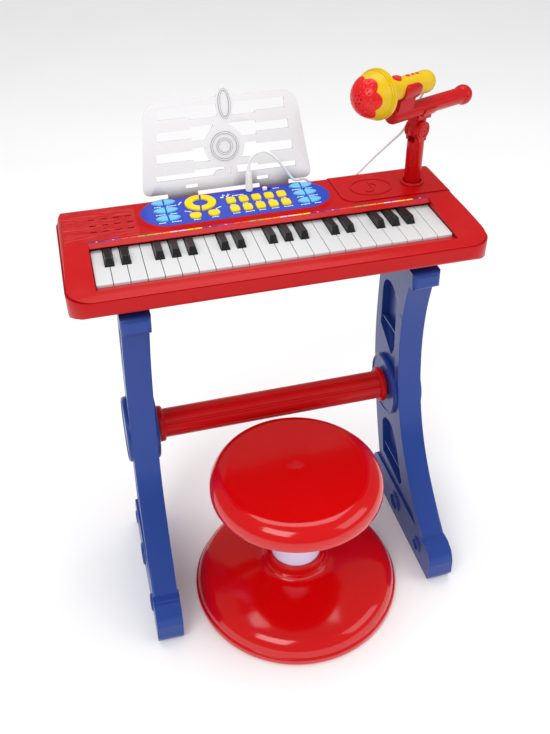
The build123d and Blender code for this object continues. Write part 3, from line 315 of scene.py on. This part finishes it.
def soften(node, width):
    """Welds the CAD mesh's seams and rounds its edges."""
    weld = node.modifiers.new("weld", "WELD")
    weld.merge_threshold = WELD_REACH
    bevel = node.modifiers.new("bevel", "BEVEL")
    bevel.width = width * MM
    bevel.segments = 2
    bevel.limit_method = "ANGLE"
    bevel.angle_limit = math.radians(SHARP_ANGLE)
    bevel.harden_normals = False
    bevel.use_clamp_overlap = True


for name, node in frame["nodes"].items():
    look = LOOK.get(name) or (KEY_WHITE if name.startswith("white") else KEY_BLACK)
    node.data.materials.clear()
    node.data.materials.append(look)
    for start, width in SOFT_EDGES.items():
        if name.startswith(start):
            soften(node, width)


# ---------------------------------------------------------------- mesh helpers
def piece(name, verts, faces, material, body, smooth=True, autosharp=35):
    """A mesh object from points in the frame, riding on a body if one is named."""
    mesh = bpy.data.meshes.new(name)
    mesh.from_pydata([tuple(v) for v in verts], [], faces)
    obj = bpy.data.objects.new(name, mesh)
    bpy.context.scene.collection.objects.link(obj)
    bm = bmesh.new()
    bm.from_mesh(mesh)
    bmesh.ops.remove_doubles(bm, verts=bm.verts, dist=1e-7)
    bmesh.ops.recalc_face_normals(bm, faces=bm.faces)
    for face in bm.faces:
        face.smooth = smooth
    for edge in bm.edges:
        if len(edge.link_faces) == 2 and edge.calc_face_angle(0) > math.radians(autosharp):
            edge.smooth = False
    bm.to_mesh(mesh)
    bm.free()
    mesh.materials.append(material)
    if body:
        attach(obj, body)
    return obj


def grid_faces(rows, columns):
    """Quads between closed rings of equal length, one after another."""
    faces = []
    for r in range(rows - 1):
        for c in range(columns):
            n = (c + 1) % columns
            faces.append((r * columns + c, r * columns + n, (r + 1) * columns + n, (r + 1) * columns + c))
    return faces


def capped(rows, columns):
    """The quads between closed rings, with a face over the first ring and the last."""
    last = (rows - 1) * columns
    return grid_faces(rows, columns) + [tuple(range(columns))[::-1], tuple(range(last, last + columns))]


def upright_turned(name, x, y, profile, material, body, columns=48):
    """A body turned about a vertical line: profile is (height, radius) in millimetres."""
    verts = []
    for z, radius in profile:
        for c in range(columns):
            angle = 2 * math.pi * c / columns
            verts.append(at(x, y, z) + Vector((math.cos(angle), math.sin(angle), 0)) * radius * MM)
    return piece(name, verts, capped(len(profile), columns), material, body)


def arc(cx, cy, radius, start, end, steps):
    """Points on an arc, angles in degrees."""
    out = []
    for i in range(steps + 1):
        a = math.radians(start + (end - start) * i / steps)
        out.append((cx + radius * math.cos(a), cy + radius * math.sin(a)))
    return out


def smooth_path(points, steps):
    """A Catmull-Rom curve through points."""
    out = []
    for i in range(len(points) - 1):
        p0 = points[max(i - 1, 0)]
        p1, p2 = points[i], points[i + 1]
        p3 = points[min(i + 2, len(points) - 1)]
        for k in range(steps):
            t = k / steps
            out.append(0.5 * ((2 * p1) + (p2 - p0) * t + (2 * p0 - 5 * p1 + 4 * p2 - p3) * t * t
                              + (3 * p1 - p0 - 3 * p2 + p3) * t ** 3))
    out.append(points[-1])
    return out


def tube(name, path, radius, material, body, sides):
    """A closed tube along a path."""
    verts = []
    reference = Vector((0, 1, 0))
    for i, p in enumerate(path):
        ahead = path[min(i + 1, len(path) - 1)] - path[max(i - 1, 0)]
        ahead.normalize()
        reference = (reference - ahead * reference.dot(ahead)).normalized()
        other = ahead.cross(reference)
        for c in range(sides):
            a = 2 * math.pi * c / sides
            verts.append(p + (reference * math.cos(a) + other * math.sin(a)) * radius)
    return piece(name, verts, capped(len(path), sides), material, body, autosharp=60)


def plates(name, outlines, z0, z1, material):
    """Thin plates on the stand from flat outlines in design millimetres, joined in one mesh."""
    verts, faces = [], []
    for points in outlines:
        start, count = len(verts), len(points)
        verts += [at(x, y, z0) for x, y in points] + [at(x, y, z1) for x, y in points]
        faces.append(tuple(range(start, start + count))[::-1])
        faces.append(tuple(range(start + count, start + 2 * count)))
        for i in range(count):
            j = (i + 1) % count
            faces.append((start + i, start + j, start + count + j, start + count + i))
    return piece(name, verts, faces, material, "stand", smooth=False)


def lozenge(x, y, width, height, turn=0.0, radius=0.5, steps=3):
    """A rounded rectangle's outline about (x, y), turned by an angle in degrees."""
    points = []
    across, along = width / 2 - radius, height / 2 - radius
    for cx, cy, start in ((1, 1, 0), (-1, 1, 90), (-1, -1, 180), (1, -1, 270)):
        points += arc(cx * across, cy * along, radius, start, start + 90, steps)
    c, s = math.cos(math.radians(turn)), math.sin(math.radians(turn))
    return [(x + px * c - py * s, y + px * s + py * c) for px, py in points]


# ---------------------------------------------------------------- printed marks on the case and panel
INK_SUNK, INK_TOP = 0.05, 0.12          # how far a printed mark reaches into and out of its surface
STROKE_WIDTHS, STROKE_GAP = (1.5, 1.0, 1.7, 1.2, 1.4, 0.9), 0.45
LEAF_COLUMNS, LEAF_ROWS = (-117.4, 67.0), (158.0, 136.5, 115.0)
SQUARE_PITCH = 16.9
# captions of the other controls: x, y, length, turn in degrees
CAPTIONS = ((-83, 103.6, 8, 0), (-59, 104.4, 9, 0), (-97, 152, 8, 58), (-90.5, 127.4, 8, -28),
            (-50.5, 127.6, 9, 30), (34, 160.5, 9, 0))
# notes: x, y, size
QUAVERS = ((-41, 153.5, 7.5), (-33.5, 155, 6.5))
KEY_PITCH, WHITE_KEYS = 20, 22
STRIP_Y = 88.5


def word(x, y, length, turn=0.0, height=1.7):
    """A row of small strokes in place of a printed word."""
    used, out = 0.0, []
    c, s = math.cos(math.radians(turn)), math.sin(math.radians(turn))
    while used < length:
        width = STROKE_WIDTHS[len(out) % len(STROKE_WIDTHS)]
        offset = used + width / 2 - length / 2
        tall = height * (1.0 if len(out) % 3 else 1.25)
        out.append(lozenge(x + offset * c, y + offset * s, width, tall, turn, 0.35, 2))
        used += width + STROKE_GAP
    return out


def quaver(x, y, size):
    """A small note: head, stem and flag."""
    head = [(x + size * 0.32 * math.cos(math.radians(a)), y + size * 0.22 * math.sin(math.radians(a)))
            for a in range(0, 360, 30)]
    stem = lozenge(x + size * 0.28, y + size * 0.5, size * 0.1, size, 0, size * 0.04, 1)
    flag = ((0.33, 0.78), (0.6, 0.5), (0.68, 0.66), (0.33, 1))
    return [head, stem, [(x + size * across, y + size * up) for across, up in flag]]


def add_panel_marks():
    """White strokes by the controls, and two small notes with a longer word left of the jack."""
    marks = []
    for shift, column in enumerate(LEAF_COLUMNS):
        for row, y in enumerate(LEAF_ROWS):
            marks += word(column - 8.5, y - 9.4, 9 + (row + shift) % 2 * 2)
            marks += word(column + 8.5, y - 9.4, 8 + (row + shift + 1) % 2 * 3)
    for i in range(5):
        marks += word(-31.5 + SQUARE_PITCH * i, 130.2, 6 + i % 2)
        marks += word(-31.3 + SQUARE_PITCH * i, 106.6, 9 + (i + 1) % 3)
    for x, y, length, turn in CAPTIONS:
        marks += word(x, y, length, turn)
    for x, y, size in QUAVERS:
        marks += quaver(x, y, size)
    marks += word(-20, 154.5, 14, 0, 2.4)
    plates("panel_marks", marks, PANEL_TOP - INK_SUNK, PANEL_TOP + INK_TOP, INK)


def add_key_strip():
    """One coloured length behind each white key along the deck's edge, each with a small dot."""
    z = DECK_TOP / MM

    def behind_keys(notes, *size):
        """Rounded rectangles behind the keys of some notes, all of one size."""
        places = [key for key in range(WHITE_KEYS) if key % len(STRIP_INKS) in notes]
        return [lozenge((key - (WHITE_KEYS - 1) / 2) * KEY_PITCH, STRIP_Y, *size) for key in places]

    for note, colour in enumerate(STRIP_INKS):
        bars = behind_keys((note,), 19.8, 2.5, 0, 0.3, 2)
        strip = plates("key_strip_" + colour, bars, z - INK_SUNK, z + INK_TOP, STRIP_INKS[colour])
    for name, ink, notes in (("key_strip_dark_dots", "navy", (2, 3, 4, 5, 6)),
                             ("key_strip_pale_dots", "pink", (0, 1))):
        dots = behind_keys(notes, 2.6, 1.2, 0, 0.5, 3)
        plates(name, dots, z + 0.1, z + 0.2, STRIP_INKS[ink])


# ---------------------------------------------------------------- microphone grille
RIM_S, MIC_LIFT = -89.5, 60.5           # the head's widest ring along the boom, and the handle's height
DOME_R, DOME_LENGTH = 28.5, 34.6
LOBES, LOBE_TURN, LOBE_CENTRE, LOBE_R = 6, 33, 12.0, 12.2
HOLE_R, HOLE_DEPTH = 1.15, 1.6
DIMPLE_R, DIMPLE_DEPTH = 1.5, 0.55
DENT_RINGS, DENT_PITCH, DENT_TURN = 4, 5.2, 0.26
SHELL_OUT, SHELL_IN = 0.5, -1.0         # the shell's two faces, measured from the dome
BRIM, BRIM_DROP = 0.955, 0.22           # where the edge starts to round off, as a share of the radius
RINGS, SECTORS = 72, 216


def flower_radius(angle):
    """How far the six-lobed outline reaches at an angle."""
    best = 0.0
    for step in range(LOBES):
        gap = angle - math.radians(360 / LOBES * step + LOBE_TURN)
        across = LOBE_CENTRE * math.sin(gap)
        if abs(across) < LOBE_R:
            best = max(best, LOBE_CENTRE * math.cos(gap) + math.sqrt(LOBE_R ** 2 - across ** 2))
    return best


def grille_dents():
    """The sound holes and the dimples round them, each as (x, y, radius, depth)."""
    hole, dimple = (HOLE_R, HOLE_DEPTH), (DIMPLE_R, DIMPLE_DEPTH)
    dents = [(0.0, 0.0) + hole]
    for ring in range(1, DENT_RINGS + 1):
        count, r = 6 * ring, DENT_PITCH * ring
        for step in range(count):
            angle = 2 * math.pi * (step + 0.5 * (ring % 2)) / count + DENT_TURN
            dents.append((r * math.cos(angle), r * math.sin(angle)) + (hole if ring == 1 else dimple))
    return dents


def dome_point(r, angle, rise):
    """A point of the dome at a radius and angle, raised from it by some millimetres."""
    height = DOME_LENGTH * math.sqrt(max(0.0, 1 - (r / DOME_R) ** 2))
    normal = Vector((r / DOME_R ** 2, height / DOME_LENGTH ** 2)).normalized()
    r, height = r + normal.x * rise, height + normal.y * rise
    return on_boom(RIM_S - height, MIC_LIFT + r * math.cos(angle), r * math.sin(angle))


def dip(x, y, share, dents):
    """How deep the grille's face lies at a point: the rounded brim and the dents."""
    depth = BRIM_DROP * (max(0.0, share - BRIM) / (1 - BRIM)) ** 2
    for dx, dy, radius, deep in dents:
        away = ((x - dx) ** 2 + (y - dy) ** 2) / radius ** 2
        if away < 1:
            depth += deep * (1 - away) ** 1.5
    return depth


def paint_hole_shade(grille, dents):
    """Painted shade: gives the bottoms of the sound holes a dark red in place of the shade inside them.
    """
    holes = [(dx, dy) for dx, dy, radius, deep in dents if radius == HOLE_R]
    grille.data.materials.append(HOLE_SHADE_RED)
    for face in grille.data.polygons:
        away = face.center - on_boom(0, MIC_LIFT)
        x, y = away.dot(LIFT) / MM, away.dot(AXIS) / MM
        nearest = min(math.hypot(x - dx, y - dy) for dx, dy in holes)
        if away.dot(BOOM) / MM < RIM_S - DOME_LENGTH * 0.5 and nearest < HOLE_R * 0.75:
            face.material_index = 1


def add_grille():
    """The red grille: a dimpled shell with a six-lobed edge and sound holes."""
    dents = grille_dents()
    front = [(k / RINGS, SHELL_OUT) for k in range(1, RINGS + 1)]
    edge = [(1.012, 0.25), (1.014, -0.6), (1.0, SHELL_IN)]
    inside = [(k / 6, SHELL_IN) for k in range(5, 0, -1)]
    layers = front + edge + inside
    verts = []
    for level, (share, rise) in enumerate(layers):
        for c in range(SECTORS):
            angle = 2 * math.pi * c / SECTORS
            r = flower_radius(angle) * share
            sunk = dip(r * math.cos(angle), r * math.sin(angle), share, dents) if level < RINGS else 0.0
            verts.append(dome_point(r, angle, rise - sunk))
    faces = grid_faces(len(layers), SECTORS)
    nose, back = len(verts), len(verts) + 1
    verts += [dome_point(0.0, 0.0, SHELL_OUT - HOLE_DEPTH), dome_point(0.0, 0.0, SHELL_IN)]
    last = (len(layers) - 1) * SECTORS
    for c in range(SECTORS):
        n = (c + 1) % SECTORS
        faces.append((nose, n, c))
        faces.append((back, last + c, last + n))
    grille = piece("mic_grille_shell", verts, faces, GRILLE, "boom", autosharp=70)
    # painted shade in the sound holes
    paint_hole_shade(grille, dents)
    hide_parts("mic_grille")


# ---------------------------------------------------------------- plug and cable
JACK = (-2.0, 162.5)
CABLE_R = 1.7
PLUG_RIBS, RIB_PITCH = 6, 3.4
# the cable's run in design millimetres: over the rest, down behind the case and up beside the post
CASE_RUN = ((1, 161, 558), (9, 158, 567), (20, 157, 568), (34, 159, 556), (48, 164, 536), (61, 170, 518),
            (72, 178, 512.4), (82, 188, 507), (96, 198, 495), (118, 203, 488), (140, 203, 486),
            (162, 197, 501), (174, 191, 517), (187, 181, 537), (199, 171, 555), (208, 160, 572))
# its end beside the pivot and into the handle: along the boom, above the pivot, to the side
BOOM_RUN = ((9, 6, 20), (13, 24, 15.5), (16, 40, 11), (14.5, 50, 4), (11, 54, 0))


def add_plug():
    """The plug in the jack: a flanged foot, ribs and a thin neck."""
    profile = [(0.35, 0), (0.35, 4.2), (0.9, 4.8), (3.0, 4.9)]
    for step in range(PLUG_RIBS):
        z = 4 + RIB_PITCH * step
        wide = 4.9 - 0.12 * step
        profile += [(z, wide), (z + 0.3, wide - 0.45), (z + 1.0, wide - 0.5), (z + 1.3, wide - 0.05)]
    profile += [(25.5, 3.8), (27.5, 3.0), (33, 2.3), (35.5, 2.05), (36, 0)]
    profile = [(PANEL_TOP + z, radius) for z, radius in profile]
    upright_turned("mic_plug", *JACK, profile, WHITE, "stand")


def add_cable():
    """The cable from the plug, behind the case and up to the microphone's tail."""
    rest = [at(*JACK, PANEL_TOP + 20), at(*JACK, PANEL_TOP + 33)] + [at(*p) for p in CASE_RUN]
    path = smooth_path(rest + [on_boom(*p) for p in BOOM_RUN], 9)
    cable = tube("mic_cable_run", path, CABLE_R * MM, CABLE, None, 16)
    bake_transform(cable)
    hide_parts("mic_cable")


add_panel_marks()
add_key_strip()
add_grille()
add_plug()
add_cable()


# ---------------------------------------------------------------- stage
def add_floor():
    """A plain pale floor, just under the feet."""
    bpy.ops.mesh.primitive_plane_add(size=14, location=(0, 0, -0.0004))
    floor = bpy.context.object
    floor.name = "floor"
    t = Tree("floor_pale")
    t.surface("Base Color", t.mix(t.noise(3.0, 4.0), srgb(247, 247, 247), srgb(252, 252, 252)))
    t.surface("Roughness", 0.85)
    t.surface("Normal", t.bump(t.noise(400.0), 0.0001, 0.2))
    floor.data.materials.append(t.material)


def area(name, place, aim, size, power):
    """A soft white light at one place, turned to another."""
    data = bpy.data.lights.new(name, "AREA")
    data.shape = "RECTANGLE"
    data.size, data.size_y = size
    data.energy = power
    light = bpy.data.objects.new(name, data)
    bpy.context.scene.collection.objects.link(light)
    light.location = place
    light.rotation_euler = (Vector(aim) - Vector(place)).to_track_quat("-Z", "Y").to_euler()


def studio(strength, mirrored):
    """An even white room that shows less brightly in glossy reflections than it lights."""
    world = bpy.data.worlds.new("studio")
    bpy.context.scene.world = world
    world.use_nodes = True
    tree = world.node_tree
    paths = tree.nodes.new("ShaderNodeLightPath")
    level = tree.nodes.new("ShaderNodeMapRange")
    level.inputs["To Min"].default_value = strength
    level.inputs["To Max"].default_value = mirrored
    tree.links.new(paths.outputs["Is Glossy Ray"], level.inputs["Value"])
    tree.nodes["Background"].inputs["Color"].default_value = (1, 1, 1, 1)
    tree.links.new(level.outputs["Result"], tree.nodes["Background"].inputs["Strength"])


# ---------------------------------------------------------------- camera
YAW, PITCH, ROLL = math.radians(14.51), math.radians(38.35), math.radians(-0.68)
EYE = (-224.7, -823.3, 1014.3)
LENS, SENSOR = 40.86, 36


def add_camera():
    """The camera, turned right by YAW, down by PITCH and about its view by ROLL."""
    data = bpy.data.cameras.new("camera")
    camera = bpy.data.objects.new("camera", data)
    bpy.context.scene.collection.objects.link(camera)
    forward = Vector((math.sin(YAW) * math.cos(PITCH), math.cos(YAW) * math.cos(PITCH), -math.sin(PITCH)))
    level = Vector((math.cos(YAW), -math.sin(YAW), 0))
    upright = level.cross(forward)
    right = level * math.cos(ROLL) + upright * math.sin(ROLL)
    up = -level * math.sin(ROLL) + upright * math.cos(ROLL)
    turn = Matrix((right, up, -forward)).transposed().to_4x4()
    camera.matrix_world = Matrix.Translation(at(*EYE)) @ turn
    data.sensor_width = SENSOR
    data.lens = LENS
    data.clip_start, data.clip_end = 0.05, 30
    bpy.context.scene.camera = camera


add_floor()
studio(0.76, 0.24)
area("key_light", (-1.3, -1.5, 2.4), (0, 0, 0.35), (1.4, 1.4), 28)
area("fill_light", (1.8, -1.2, 1.5), (0, 0, 0.3), (1.6, 1.2), 10)
area("top_light", (0.1, 0.6, 2.4), (0, 0, 0.4), (1.8, 1.2), 17)
bpy.context.scene.view_settings.view_transform = "Standard"
add_camera()
